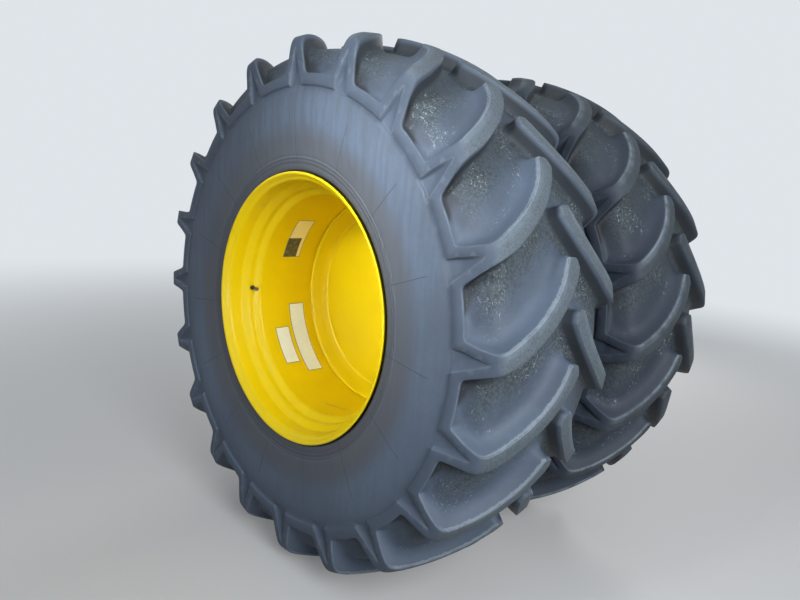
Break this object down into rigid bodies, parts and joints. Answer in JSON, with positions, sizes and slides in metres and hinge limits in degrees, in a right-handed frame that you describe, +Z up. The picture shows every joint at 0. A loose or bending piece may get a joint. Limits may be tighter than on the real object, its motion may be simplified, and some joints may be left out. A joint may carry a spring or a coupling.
{
  "type": "combine harvester twin drive wheel with final drive",
  "caption": "Twin lugged drive wheels on deep-dished yellow rims, joined by a drum spacer and carried by the hub of a green final drive.",
  "frame": {"origin": "centre of the final drive's mounting face, on the axle line", "axes": "+Y inboard along the axle, out of the mounting face; -Y to the street side; +X to the machine's rear; +Z up"},
  "size_m": [2.0398, 1.632, 2.0398],
  "materials": {
    "tyre": "dusty black rubber",
    "wheel_paint": "gloss yellow",
    "drive_paint": "gloss green",
    "valve": "matt black",
    "bare_steel": "machined"
  },
  "bodies": {
    "final_drive": {"final_drive_housing": "drive_paint", "gear_case": "drive_paint", "bearing_carrier": "drive_paint", "input_cover": "drive_paint"},
    "wheel": {"outer_tyre": "tyre", "outer_rim": "wheel_paint", "outer_disc": "wheel_paint", "outer_valve": "valve", "dual_spacer": "wheel_paint", "inner_tyre": "tyre", "inner_rim": "wheel_paint", "inner_disc": "wheel_paint", "inner_valve": "valve", "hub": "drive_paint", "hub_cap": "drive_paint"},
    "input_shaft": {"input_shaft": "bare_steel"}
  },
  "joints": [
    {"name": "wheel_spin", "type": "hinge", "parent": "final_drive", "child": "wheel", "pos_m": [0, -0.56, 0], "axis": [0, -1, 0], "continuous": true},
    {"name": "input_spin", "type": "hinge", "parent": "final_drive", "child": "input_shaft", "pos_m": [0, 0, 0], "axis": [0, -1, 0], "continuous": true}
  ],
  "couplings": [
    {"joint": "input_spin", "follows": "wheel_spin", "ratio": 4.6667}
  ]
}
